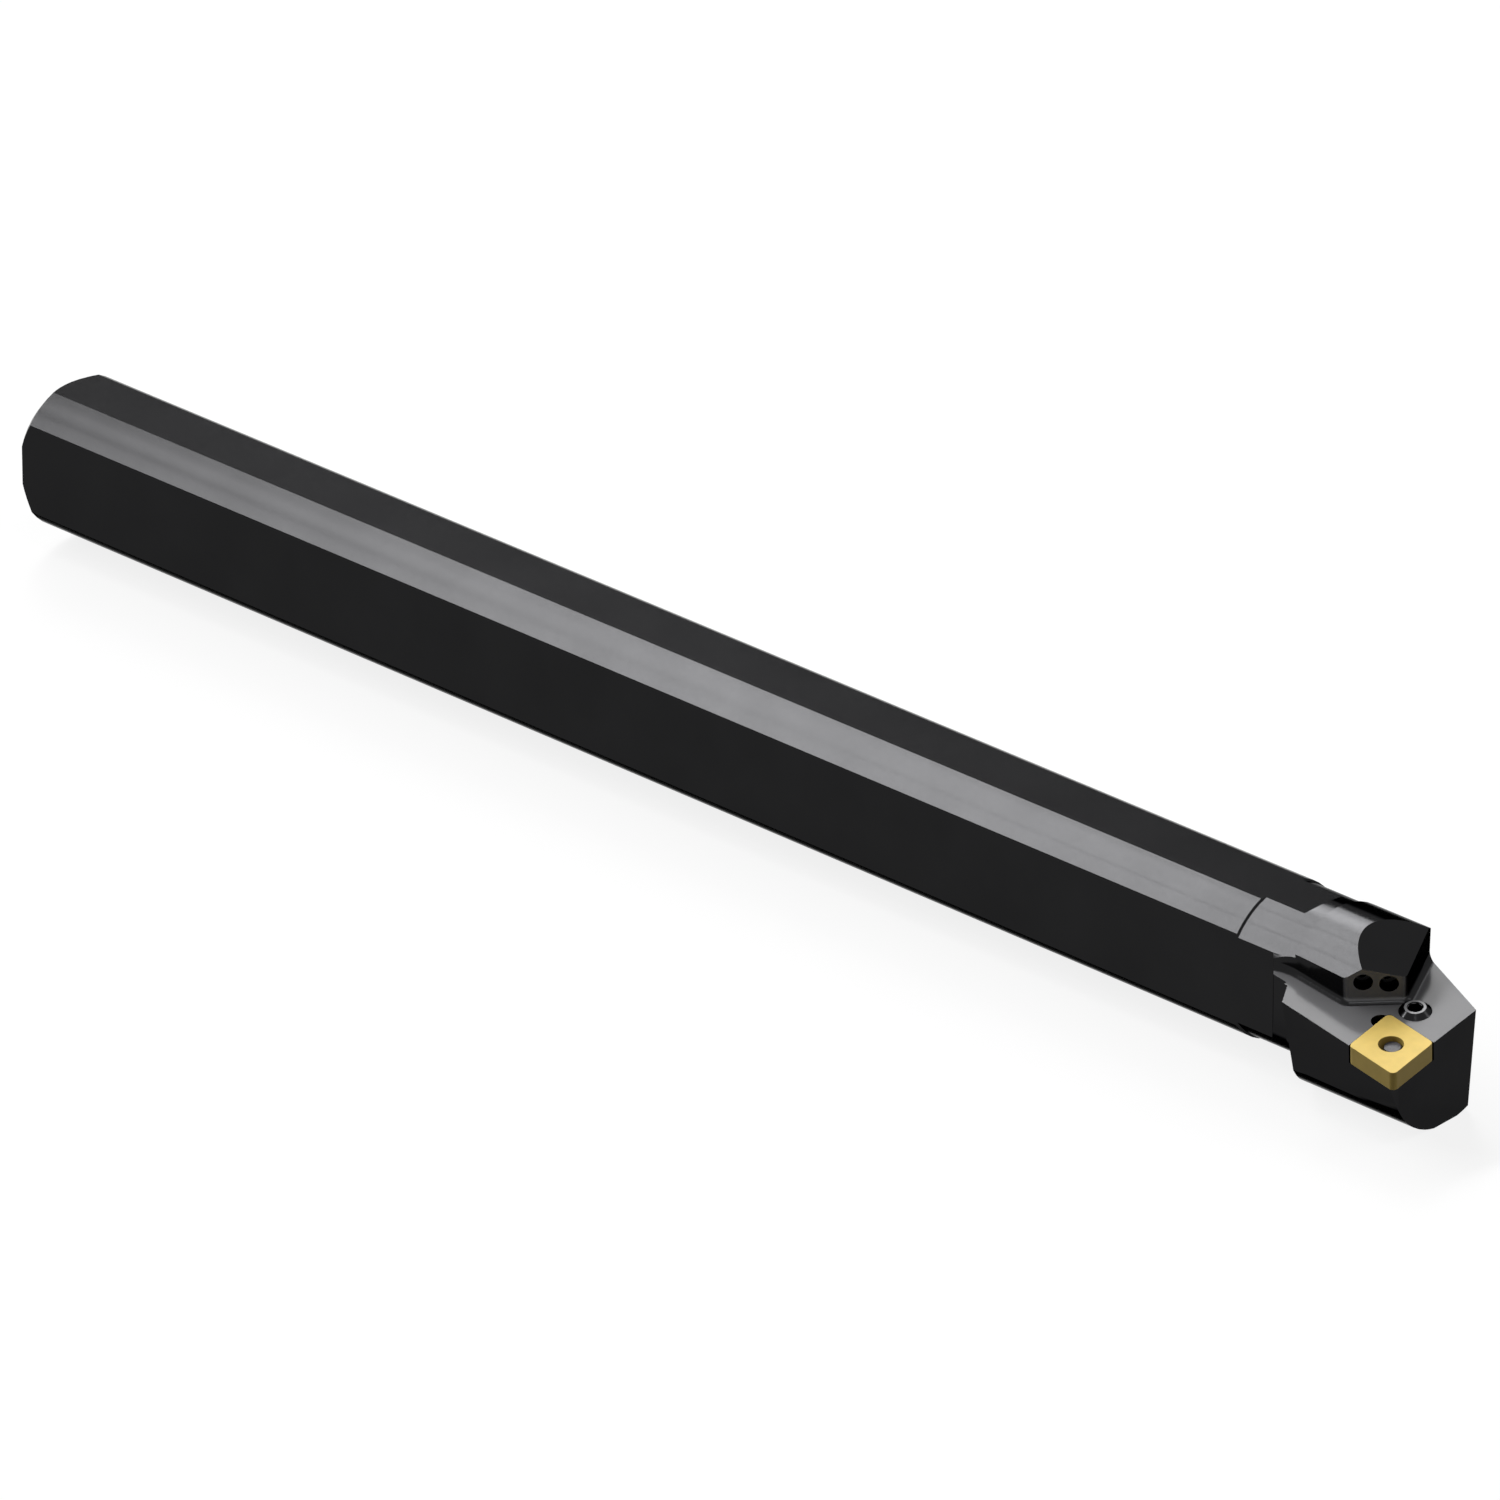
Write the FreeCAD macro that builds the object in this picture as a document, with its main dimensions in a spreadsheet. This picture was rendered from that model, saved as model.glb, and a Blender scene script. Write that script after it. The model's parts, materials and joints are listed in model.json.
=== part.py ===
import FreeCAD, Part
import math
import os
import Sketcher

# A left-hand boring bar with a lever-clamped insert.
# X runs along the shank from its back end to the head and Z is up. The shank's axis is y = z = 0.
# The insert's nose is at centre height, z = 0, on the -Y side.
# Seat frame: origin at the nose corner on the rake plane, x forward along the insert's side edge,
# y inward across the bar and z up, square to the rake plane.

os.makedirs("parts", exist_ok=True)
document = FreeCAD.newDocument("boring_bar")
sheet = document.addObject("Spreadsheet::Sheet", "sizes")
X_AXIS = FreeCAD.Vector(1, 0, 0)
Y_AXIS = FreeCAD.Vector(0, 1, 0)
Z_AXIS = FreeCAD.Vector(0, 0, 1)


class Size:
    """A number together with the sheet expression that drives it."""

    def __init__(self, value, text):
        self.value = float(value)
        self.text = text

    def __add__(self, other):
        other = as_size(other)
        return Size(self.value + other.value, f"({self.text} + {other.text})")

    def __sub__(self, other):
        other = as_size(other)
        return Size(self.value - other.value, f"({self.text} - {other.text})")

    def __mul__(self, other):
        other = as_size(other)
        return Size(self.value * other.value, f"({self.text} * {other.text})")

    def __truediv__(self, other):
        other = as_size(other)
        return Size(self.value / other.value, f"({self.text} / {other.text})")

    def __neg__(self):
        return Size(-self.value, f"(-{self.text})")


def as_size(value):
    return value if isinstance(value, Size) else Size(value, f"({value})")


def sine(angle):
    return Size(math.sin(math.radians(angle.value)), f"sin({angle.text})")


def cosine(angle):
    return Size(math.cos(math.radians(angle.value)), f"cos({angle.text})")


def root(size):
    return Size(math.sqrt(size.value), f"sqrt({size.text})")


class Frame:
    """A placement together with the sheet expression that drives it."""

    def __init__(self, value, text):
        self.value = value
        self.text = text

    def __mul__(self, other):
        return Frame(self.value.multiply(other.value), f"{self.text} * {other.text}")


def shift(x, y, z):
    x, y, z = as_size(x), as_size(y), as_size(z)
    value = FreeCAD.Placement(FreeCAD.Vector(x.value, y.value, z.value), FreeCAD.Rotation())
    vector = f"create(<<vector>>; {x.text}; {y.text}; {z.text})"
    return Frame(value, f"create(<<placement>>; {vector}; create(<<rotation>>; 0; 0; 0))")


def turn(axis, angle):
    angle = as_size(angle)
    value = FreeCAD.Placement(FreeCAD.Vector(), FreeCAD.Rotation(axis, angle.value))
    vector = f"create(<<vector>>; {axis.x}; {axis.y}; {axis.z})"
    rotation = f"create(<<rotation>>; {vector}; {angle.text})"
    return Frame(value, f"create(<<placement>>; create(<<vector>>; 0; 0; 0); {rotation})")


rows = []


def driving(alias, value):
    """Writes a driving dimension into the next row of the sheet and returns it."""
    rows.append(alias)
    sheet.set(f"A{len(rows)}", alias)
    sheet.set(f"B{len(rows)}", str(value))
    sheet.setAlias(f"B{len(rows)}", alias)
    return Size(value, f"sizes.{alias}")


# Shank and neck
shank_diameter = driving("shank_diameter", 25.0)
shank_height = driving("shank_height_over_flats", 23.0)
side_flat = driving("side_flat_from_axis", 10.0)
back_chamfer = driving("back_chamfer", 2.0)
neck_start = driving("neck_start", 262.0)
neck_diameter = driving("neck_diameter", 24.36)
neck_end = driving("neck_end", 273.5)
head_diameter = driving("head_diameter", 25.2)
top_flat_end = driving("top_flat_end", 270.0)
bottom_flat_end = driving("bottom_flat_end", 265.4)
side_flat_end = driving("side_flat_end", 269.4)

# Foot under the insert: a larger round, set over towards the insert, behind a slanting shoulder
foot_radius = driving("foot_radius", 14.12)
foot_offset = driving("foot_offset", 2.33)
foot_start = driving("foot_start", 267.8)
foot_slope = driving("foot_shoulder_slope", 0.573)
foot_lean = driving("foot_shoulder_lean", 9.1)
foot_depth = driving("foot_flat_below_axis", 13.85)

# Insert and the tilts of its seat
nose_x = driving("nose_x", 300.03)
nose_offset = driving("nose_offset", 17.0)
radial_tilt = driving("radial_tilt", 9.3)
axial_tilt = driving("axial_tilt", 6.6)
lead_tilt = driving("lead_tilt", 5.24)
insert_circle = driving("insert_inscribed_circle", 9.525)
insert_angle = driving("insert_corner_angle", 80.0)
insert_thickness = driving("insert_thickness", 3.18)
insert_corner = driving("insert_corner_radius", 0.8)
insert_hole = driving("insert_hole_diameter", 3.81)
seat_corner = driving("seat_corner_radius", 0.6)
relief_diameter = driving("seat_relief_diameter", 3.0)
relief_along = driving("seat_relief_inset_x", 0.59)
relief_across = driving("seat_relief_inset_y", 2.12)
relief_extra = driving("seat_relief_extra_depth", 0.3)

# Chip pocket in the seat frame
pocket_back = driving("pocket_back", 35.3)
pocket_back_radius = driving("pocket_back_radius", 9.0)
side_wall_x = driving("side_wall_x", 22.2)
side_wall_y = driving("side_wall_y", 6.28)
side_wall_angle = driving("side_wall_angle", 3.2)
pocket_corner_radius = driving("pocket_corner_radius", 1.5)
port_wall_x = driving("port_wall_x", 17.04)
port_wall_y = driving("port_wall_y", 7.13)
port_wall_angle = driving("port_wall_angle", 49.8)
front_wall_x = driving("front_wall_x", 12.165)
front_wall_y = driving("front_wall_y", 14.16)
front_wall_angle = driving("front_wall_angle", 119.7)
wall_edge_radius = driving("wall_edge_radius", 0.9)
floor_fillet = driving("floor_fillet", 1.15)

# Slopes cut on the head
slope_start = driving("top_slope_start", 280.9)
slope_fall = driving("top_slope_fall", 25.8)
slope_turn = driving("top_slope_turn", 14.9)
front_overhang = driving("front_overhang", 0.15)
front_angle = driving("front_face_angle", 9.0)
side_overhang = driving("side_overhang", 0.1)
side_angle = driving("side_face_angle", 0.4)
nose_rounding = driving("nose_rounding", 1.2)
far_cut_back = driving("far_cut_back", 1.33)
far_cut_y = driving("far_cut_y", 2.3)
far_cut_angle = driving("far_cut_angle", 18.5)

# Lever and its screw
screw_x = driving("screw_x", 9.1)
screw_y = driving("screw_y", 12.7)
screw_bore = driving("screw_bore_diameter", 5.0)
screw_gap = driving("screw_radial_clearance", 0.05)
screw_rise = driving("screw_rise", 0.76)
screw_rim = driving("screw_rim_diameter", 3.34)
socket_width = driving("socket_across_flats", 2.1)
socket_depth = driving("socket_depth", 2.2)
socket_lead = driving("socket_lead_depth", 0.18)
groove_depth = driving("screw_groove_depth", 5.25)
groove_diameter = driving("screw_groove_diameter", 3.0)
collar_diameter = driving("screw_collar_diameter", 4.2)
collar_height = driving("screw_collar_height", 1.05)
pin_diameter = driving("lever_pin_diameter", 2.6)
pin_depth = driving("lever_pin_top_depth", 0.85)
pin_offset = driving("lever_pin_offset", 0.5)
knee_diameter = driving("lever_knee_diameter", 4.0)
knee_gap = driving("lever_knee_gap", 0.4)
arm_height = driving("lever_arm_height", 2.0)
arm_width = driving("lever_arm_width", 2.8)
arm_rounding = driving("lever_arm_rounding", 1.26)
arm_gap = driving("lever_arm_gap", 0.15)
arm_end_gap = driving("lever_arm_end_gap", 0.2)
chamber_diameter = driving("lever_chamber_diameter", 5.6)
chamber_gap = driving("lever_chamber_gap", 0.5)
slot_width = driving("lever_slot_width", 3.8)
screw_travel = driving("screw_travel", 0.8)

# Coolant way
inlet_diameter = driving("coolant_inlet_diameter", 8.8)
inlet_depth = driving("coolant_inlet_depth", 12.0)
inlet_chamfer = driving("coolant_inlet_chamfer", 0.8)
coolant_diameter = driving("coolant_bore_diameter", 6.0)
coolant_end = driving("coolant_bore_end", 279.0)
drill_point = driving("drill_point_half_angle", 59.0)
port_diameter = driving("coolant_port_diameter", 2.9)
port_depth = driving("coolant_port_depth", 2.5)
port_spacing = driving("coolant_port_spacing", 3.8)
port_along = driving("coolant_port_along_wall", 1.86)
port_height = driving("coolant_port_height", 3.7)
port_drop = driving("coolant_port_drop", 0.42)
feed_diameter = driving("coolant_feed_diameter", 1.4)

# How far the cutting outlines reach past the bar
reach = driving("outline_reach", 40.0)

document.recompute()


def new_body(name, frame=None):
    body = document.addObject("PartDesign::Body", name)
    body.Label = name
    if frame is not None:
        body.Placement = frame.value
        body.setExpression("Placement", frame.text)
    return body


def new_sketch(body, name, role, frame=None):
    plane = [feature for feature in body.Origin.OriginFeatures if feature.Role == role][0]
    sketch = body.newObject("Sketcher::SketchObject", name)
    sketch.AttachmentSupport = [(plane, "")]
    sketch.MapMode = "FlatFace"
    if frame is not None:
        sketch.AttachmentOffset = frame.value
        sketch.setExpression("AttachmentOffset", frame.text)
    return sketch


def bind(sketch, constraint, size):
    index = sketch.addConstraint(constraint)
    sketch.setExpression(f"Constraints[{index}]", size.text)


def fix_point(sketch, geometry, point, x, y):
    bind(sketch, Sketcher.Constraint("DistanceX", -1, 1, geometry, point, x.value), x)
    bind(sketch, Sketcher.Constraint("DistanceY", -1, 1, geometry, point, y.value), y)


def draw_circle(sketch, x, y, diameter):
    x, y = as_size(x), as_size(y)
    centre = FreeCAD.Vector(x.value, y.value, 0)
    circle = sketch.addGeometry(Part.Circle(centre, Z_AXIS, diameter.value / 2))
    fix_point(sketch, circle, 3, x, y)
    bind(sketch, Sketcher.Constraint("Diameter", circle, diameter.value), diameter)


def draw_outline(sketch, corners):
    """Draws a closed outline through (x, y) corners; a third value rounds a corner by that radius."""
    corners = [tuple(as_size(value) for value in corner) for corner in corners]
    points = [FreeCAD.Vector(corner[0].value, corner[1].value, 0) for corner in corners]
    count = len(corners)
    entries, exits, centres = [], [], []
    for number, corner in enumerate(corners):
        point = points[number]
        if len(corner) == 2:
            entries.append(point)
            exits.append(point)
            centres.append(None)
            continue
        back = (points[number - 1] - point).normalize()
        ahead = (points[(number + 1) % count] - point).normalize()
        half = back.getAngle(ahead) / 2
        along = corner[2].value / math.tan(half)
        entries.append(point + back * along)
        exits.append(point + ahead * along)
        middle = (back + ahead).normalize()
        centres.append(point + middle * (corner[2].value / math.sin(half)))
    lines = []
    for number in range(count):
        segment = Part.LineSegment(exits[number], entries[(number + 1) % count])
        lines.append(sketch.addGeometry(segment))
    for number, corner in enumerate(corners):
        before, after = lines[number - 1], lines[number]
        if centres[number] is None:
            sketch.addConstraint(Sketcher.Constraint("Coincident", before, 2, after, 1))
            fix_point(sketch, after, 1, corner[0], corner[1])
            continue
        first = entries[number] - centres[number]
        last = exits[number] - centres[number]
        counterclockwise = first.cross(last).z > 0
        start, end = (first, last) if counterclockwise else (last, first)
        start_angle = math.atan2(start.y, start.x)
        end_angle = math.atan2(end.y, end.x)
        circle = Part.Circle(centres[number], Z_AXIS, corner[2].value)
        arc = sketch.addGeometry(Part.ArcOfCircle(circle, start_angle, end_angle))
        entry, leave = (1, 2) if counterclockwise else (2, 1)
        sketch.addConstraint(Sketcher.Constraint("Tangent", before, 2, arc, entry))
        sketch.addConstraint(Sketcher.Constraint("Tangent", arc, leave, after, 1))
        corner_point = sketch.addGeometry(Part.Point(points[number]), True)
        sketch.addConstraint(Sketcher.Constraint("PointOnObject", corner_point, 1, before))
        sketch.addConstraint(Sketcher.Constraint("PointOnObject", corner_point, 1, after))
        fix_point(sketch, corner_point, 1, corner[0], corner[1])
        bind(sketch, Sketcher.Constraint("Radius", arc, corner[2].value), corner[2])


def rectangle(sketch, left, right, low, high):
    draw_outline(sketch, [(left, low), (right, low), (right, high), (left, high)])


def solid_volume(body):
    document.recompute()
    return body.Shape.Volume


def pad(body, name, sketch, length):
    feature = body.newObject("PartDesign::Pad", name)
    feature.Profile = sketch
    feature.Length = length.value
    feature.setExpression("Length", length.text)
    sketch.Visibility = False
    return feature


def pocket(body, name, sketch, depth, side="below"):
    """Cuts below the sketch, above it, or the depth shared out to both sides."""
    before = solid_volume(body)
    feature = body.newObject("PartDesign::Pocket", name)
    feature.Profile = sketch
    feature.Length = depth.value
    feature.setExpression("Length", depth.text)
    if side == "above":
        feature.Reversed = True
    if side == "both":
        feature.SideType = "Symmetric"
    sketch.Visibility = False
    if not solid_volume(body) < before:
        raise RuntimeError(f"{name} removes nothing")
    return feature


def revolve(body, name, sketch, kind="PartDesign::Revolution", axis="H_Axis"):
    feature = body.newObject(kind, name)
    feature.Profile = sketch
    feature.ReferenceAxis = (sketch, [axis])
    feature.Angle = 360
    sketch.Visibility = False
    return feature


def edges_near(shape, points, tolerance=0.05):
    """Names of the edges that pass near the points."""
    names = []
    for point in points:
        vertex = Part.Vertex(point)
        distances = [edge.distToShape(vertex)[0] for edge in shape.Edges]
        nearest = min(distances)
        if nearest > tolerance:
            raise RuntimeError(f"no edge near {point}, the nearest is {nearest:.3f} away")
        name = f"Edge{distances.index(nearest) + 1}"
        if name not in names:
            names.append(name)
    return names


def cross_lines(x1, y1, angle1, x2, y2, angle2):
    """The point where two lines meet, each given by a point and a direction."""
    along = ((x2 - x1) * sine(angle2) - (y2 - y1) * cosine(angle2)) / sine(angle2 - angle1)
    return x1 + along * cosine(angle1), y1 + along * sine(angle1)


seat = shift(nose_x, -nose_offset, 0)
seat = seat * turn(X_AXIS, radial_tilt) * turn(Y_AXIS, axial_tilt) * turn(Z_AXIS, -lead_tilt)

# Insert outline: a rhombus with its sharp corner at the nose
insert_side = insert_circle / sine(insert_angle)
across_x = -insert_side * cosine(insert_angle)
across_y = insert_circle
centre_x = (across_x - insert_side) / 2
centre_y = across_y / 2
corner_x = across_x - insert_side

# Line from the insert's centre to the screw
arm_x = -screw_x - centre_x
arm_y = screw_y - centre_y
arm_distance = root(arm_x * arm_x + arm_y * arm_y)
arm_turn = Size(
    math.degrees(math.atan2(arm_y.value, arm_x.value)),
    f"atan2({arm_y.text}; {arm_x.text})",
)
lever_frame = seat * shift(centre_x, centre_y, 0) * turn(Z_AXIS, arm_turn)
screw_frame = seat * shift(-screw_x, screw_y, 0)

# The bar begins with its foot, cut back by the slanting shoulder and by the rake plane
bar = new_body("bar")
half_head = head_diameter / 2
foot_sketch = new_sketch(bar, "foot_outline", "YZ_Plane", shift(0, 0, foot_start - reach / 2))
draw_circle(foot_sketch, -foot_offset, 0, foot_radius * 2)
pad(bar, "foot", foot_sketch, reach * 1.5)

sole_sketch = new_sketch(bar, "foot_flat_outline", "XY_Plane", shift(0, 0, -foot_depth))
rectangle(sole_sketch, foot_start - reach, foot_start + reach, -reach, reach)
pocket(bar, "foot_flat", sole_sketch, reach)

shoulder_frame = shift(foot_start, 0, 0) * turn(Y_AXIS, -foot_lean)
shoulder_sketch = new_sketch(bar, "shoulder_outline", "XY_Plane", shoulder_frame)
shoulder_run = foot_slope * reach
draw_outline(shoulder_sketch, [
    (shoulder_run, -reach),
    (-shoulder_run, reach),
    (-reach * 2, reach),
    (-reach * 2, -reach),
])
pocket(bar, "shoulder", shoulder_sketch, reach * 2, "both")

rake_sketch = new_sketch(bar, "rake_outline", "XY_Plane", seat)
rectangle(rake_sketch, -reach * 2, reach, -reach, reach * 2)
pocket(bar, "rake_plane", rake_sketch, reach, "above")

# Shank, neck and the round of the head
step = (shank_diameter - neck_diameter) / 2
blank_sketch = new_sketch(bar, "blank_outline", "XY_Plane")
draw_outline(blank_sketch, [
    (0, 0),
    (0, shank_diameter / 2 - back_chamfer),
    (back_chamfer, shank_diameter / 2),
    (neck_start, shank_diameter / 2),
    (neck_start + step, neck_diameter / 2),
    (neck_end, neck_diameter / 2),
    (neck_end, half_head),
    (nose_x + reach / 4, half_head),
    (nose_x + reach / 4, 0),
])
revolve(bar, "blank", blank_sketch)


def cut_flat(name, sign, height, end):
    """A flat along the shank whose run-out rises at 45 degrees."""
    sketch = new_sketch(bar, f"{name}_outline", "XZ_Plane")
    draw_outline(sketch, [
        (-reach, height * sign),
        (end, height * sign),
        (end + reach, (height + reach) * sign),
        (-reach, (height + reach) * sign),
    ])
    pocket(bar, name, sketch, reach * 2, "both")


cut_flat("top_flat", 1, shank_height / 2, top_flat_end)
cut_flat("bottom_flat", -1, shank_height / 2, bottom_flat_end)

side_sketch = new_sketch(bar, "side_flat_outline", "XY_Plane")
draw_outline(side_sketch, [
    (-reach, -side_flat),
    (side_flat_end, -side_flat),
    (side_flat_end + reach, -side_flat - reach),
    (-reach, -side_flat - reach),
])
pocket(bar, "side_flat", side_sketch, reach * 2, "both")

# Slopes of the head: the top, the front and side faces with their corner under the nose, the far side
slope_frame = shift(slope_start, 0, half_head) * turn(Z_AXIS, -slope_turn) * turn(Y_AXIS, slope_fall)
slope_sketch = new_sketch(bar, "top_slope_outline", "XY_Plane", slope_frame)
rectangle(slope_sketch, -reach, reach, -reach, reach)
pocket(bar, "top_slope", slope_sketch, reach, "above")

front_corner = cross_lines(
    -front_overhang, as_size(0), front_angle + 90,
    as_size(0), side_overhang, side_angle,
)
front_sketch = new_sketch(bar, "front_and_side_outline", "XY_Plane", seat)
draw_outline(front_sketch, [
    (front_corner[0] - reach * cosine(side_angle), front_corner[1] - reach * sine(side_angle)),
    (front_corner[0], front_corner[1], nose_rounding),
    (front_corner[0] - reach * sine(front_angle), front_corner[1] + reach * cosine(front_angle)),
    (reach, reach),
    (reach, -reach),
    (-reach, -reach),
])
pocket(bar, "front_and_side", front_sketch, reach * 2, "both")

far_frame = shift(nose_x - far_cut_back, far_cut_y, 0) * turn(Z_AXIS, -far_cut_angle)
far_sketch = new_sketch(bar, "far_cut_outline", "XY_Plane", far_frame)
rectangle(far_sketch, -reach * 1.5, reach, 0, reach)
pocket(bar, "far_cut", far_sketch, reach * 2, "both")

# Chip pocket: a flat floor on the rake plane inside four walls square to it
back_corner = cross_lines(
    -pocket_back, as_size(0), as_size(90),
    -side_wall_x, side_wall_y, side_wall_angle,
)
port_corner = cross_lines(
    -side_wall_x, side_wall_y, side_wall_angle,
    -port_wall_x, port_wall_y, port_wall_angle,
)
wall_edge = cross_lines(
    -port_wall_x, port_wall_y, port_wall_angle,
    -front_wall_x, front_wall_y, front_wall_angle,
)
wall_run = reach * 0.7
wall_end = (
    wall_edge[0] + wall_run * cosine(front_wall_angle),
    wall_edge[1] + wall_run * sine(front_wall_angle),
)
pocket_stock = new_body("chip_pocket_stock")
pocket_sketch = new_sketch(pocket_stock, "chip_pocket_outline", "XY_Plane", seat)
draw_outline(pocket_sketch, [
    (-pocket_back, -reach / 4),
    (back_corner[0], back_corner[1], pocket_back_radius),
    (port_corner[0], port_corner[1], pocket_corner_radius),
    (wall_edge[0], wall_edge[1], wall_edge_radius),
    wall_end,
    (reach / 4, wall_end[1]),
    (reach / 4, -reach / 4),
])
pad(pocket_stock, "pocket_space", pocket_sketch, reach)
document.recompute()


def seat_point(x, y, z=0):
    return seat.value.multVec(FreeCAD.Vector(x, y, z))


# The mill's rounded corner leaves one radius between the floor and all four walls
wall_foot = seat_point(-side_wall_x.value, side_wall_y.value)
rounding = pocket_stock.newObject("PartDesign::Fillet", "floor_rounding")
rounding.Base = (pocket_stock.getObject("pocket_space"), edges_near(pocket_stock.Shape, [wall_foot]))
rounding.Radius = floor_fillet.value
rounding.setExpression("Radius", floor_fillet.text)
pocket_stock.Tip = rounding

volume_before = solid_volume(bar)
chip_pocket = bar.newObject("PartDesign::Boolean", "chip_pocket")
chip_pocket.Type = "Cut"
chip_pocket.setObjects([pocket_stock])
bar.Tip = chip_pocket
if not solid_volume(bar) < volume_before:
    raise RuntimeError("chip_pocket removes nothing")

# Insert seat with the relief at its inner corner
outside = reach / 8
seat_sketch = new_sketch(bar, "seat_outline", "XY_Plane", seat)
draw_outline(seat_sketch, [
    (-insert_side - across_x * outside / across_y, -outside),
    (outside, -outside),
    (outside, across_y),
    (corner_x, across_y, seat_corner),
])
pocket(bar, "seat", seat_sketch, insert_thickness)

relief_sketch = new_sketch(bar, "seat_relief_outline", "XY_Plane", seat)
draw_circle(relief_sketch, corner_x + relief_along, across_y - relief_across, relief_diameter)
pocket(bar, "seat_relief", relief_sketch, insert_thickness + relief_extra)

# Lever chamber: an upright bore, an arm slot open to the seat, and the bore of the screw
groove_height = arm_height + arm_gap * 2
arm_top = groove_depth + arm_gap
arm_bottom = arm_top + arm_height
chamber_sketch = new_sketch(bar, "lever_chamber_outline", "XY_Plane", lever_frame)
draw_circle(chamber_sketch, 0, 0, chamber_diameter)
pocket(bar, "lever_chamber", chamber_sketch, arm_bottom + chamber_gap + pin_offset)

slot_top = arm_top - screw_travel - chamber_gap
slot_sketch = new_sketch(bar, "lever_slot_outline", "XY_Plane", lever_frame * shift(0, 0, -slot_top))
rectangle(slot_sketch, 0, arm_distance, -slot_width / 2, slot_width / 2)
pocket(bar, "lever_slot", slot_sketch, arm_bottom + chamber_gap - slot_top)

screw_sketch = new_sketch(bar, "screw_bore_outline", "XY_Plane", screw_frame * shift(0, 0, floor_fillet))
draw_circle(screw_sketch, 0, 0, screw_bore)
screw_length = groove_depth + groove_height + collar_height
pocket(bar, "screw_bore", screw_sketch, floor_fillet + screw_length + chamber_gap)

# Coolant way: threaded inlet, long bore, two outlets in the pocket wall and their feeds
inlet_radius = inlet_diameter / 2
coolant_radius = coolant_diameter / 2
drill_slope = cosine(drill_point) / sine(drill_point)
coolant_sketch = new_sketch(bar, "coolant_outline", "XY_Plane")
draw_outline(coolant_sketch, [
    (-inlet_chamfer, 0),
    (-inlet_chamfer, inlet_radius + inlet_chamfer * 2),
    (inlet_chamfer, inlet_radius),
    (inlet_depth, inlet_radius),
    (inlet_depth + (inlet_radius - coolant_radius) * drill_slope, coolant_radius),
    (coolant_end, coolant_radius),
    (coolant_end + coolant_radius * drill_slope, 0),
])
revolve(bar, "coolant_bore", coolant_sketch, "PartDesign::Groove")

wall_frame = seat * shift(-port_wall_x, port_wall_y, 0) * turn(Z_AXIS, port_wall_angle)
outlet_frame = wall_frame * turn(X_AXIS, 90)
outlet_sketch = new_sketch(bar, "coolant_outlets_outline", "XY_Plane", outlet_frame)
draw_circle(outlet_sketch, port_along, port_height, port_diameter)
draw_circle(outlet_sketch, port_along + port_spacing, port_height - port_drop, port_diameter)
pocket(bar, "coolant_outlets", outlet_sketch, port_depth)

bore_target = FreeCAD.Vector((coolant_end - coolant_radius).value, 0, 0)


def cut_feed(name, along, height):
    """A narrow hole that slants from the bottom of an outlet to the long bore."""
    mouth = outlet_frame.value.multVec(FreeCAD.Vector(along.value, height.value, -port_depth.value))
    direction = mouth - bore_target
    placement = FreeCAD.Placement(mouth, FreeCAD.Rotation(Z_AXIS, direction))
    sketch = new_sketch(bar, f"{name}_outline", "XY_Plane")
    sketch.AttachmentOffset = placement
    draw_circle(sketch, 0, 0, feed_diameter)
    pocket(bar, name, sketch, as_size(direction.Length))


cut_feed("coolant_feed_rear", port_along, port_height)
cut_feed("coolant_feed_front", port_along + port_spacing, port_height - port_drop)

# Insert
insert = new_body("insert", seat)
rhombus_sketch = new_sketch(insert, "insert_outline", "XY_Plane", shift(0, 0, -insert_thickness))
draw_outline(rhombus_sketch, [
    (0, 0, insert_corner),
    (across_x, across_y, insert_corner),
    (corner_x, across_y, insert_corner),
    (-insert_side, 0, insert_corner),
])
draw_circle(rhombus_sketch, centre_x, centre_y, insert_hole)
pad(insert, "insert_blank", rhombus_sketch, insert_thickness)

# Lever: arm, knee and the pin that stands in the insert's hole; x runs towards the screw
lever = new_body("lever", lever_frame)
arm_sketch = new_sketch(lever, "arm_outline", "XY_Plane", shift(0, 0, -arm_bottom))
arm_length = arm_distance - groove_diameter / 2 - arm_end_gap
half_arm = arm_width / 2
draw_outline(arm_sketch, [
    (0, -half_arm),
    (arm_length, -half_arm, arm_rounding),
    (arm_length, half_arm, arm_rounding),
    (0, half_arm),
])
pad(lever, "arm", arm_sketch, arm_height)
knee_sketch = new_sketch(lever, "knee_outline", "XY_Plane", shift(0, 0, -arm_bottom))
draw_circle(knee_sketch, 0, 0, knee_diameter)
pad(lever, "knee", knee_sketch, arm_bottom - insert_thickness - knee_gap)
pin_sketch = new_sketch(lever, "pin_outline", "XY_Plane", shift(0, 0, -arm_bottom))
draw_circle(pin_sketch, pin_offset, 0, pin_diameter)
pad(lever, "pin", pin_sketch, arm_bottom - pin_depth)

# Screw of the lever: cone on top, threaded body, groove for the arm and a collar
screw = new_body("lever_screw", screw_frame)
screw_radius = screw_bore / 2 - screw_gap
groove_radius = groove_diameter / 2
collar_radius = collar_diameter / 2
groove_end = groove_depth + groove_height
turned_sketch = new_sketch(screw, "screw_outline", "XZ_Plane")
draw_outline(turned_sketch, [
    (0, screw_rise),
    (screw_rim / 2, screw_rise),
    (screw_radius, 0),
    (screw_radius, -groove_depth),
    (groove_radius, -groove_depth),
    (groove_radius, -groove_end),
    (collar_radius, -groove_end),
    (collar_radius, -groove_end - collar_height),
    (0, -groove_end - collar_height),
])
revolve(screw, "screw_blank", turned_sketch, axis="V_Axis")

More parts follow.
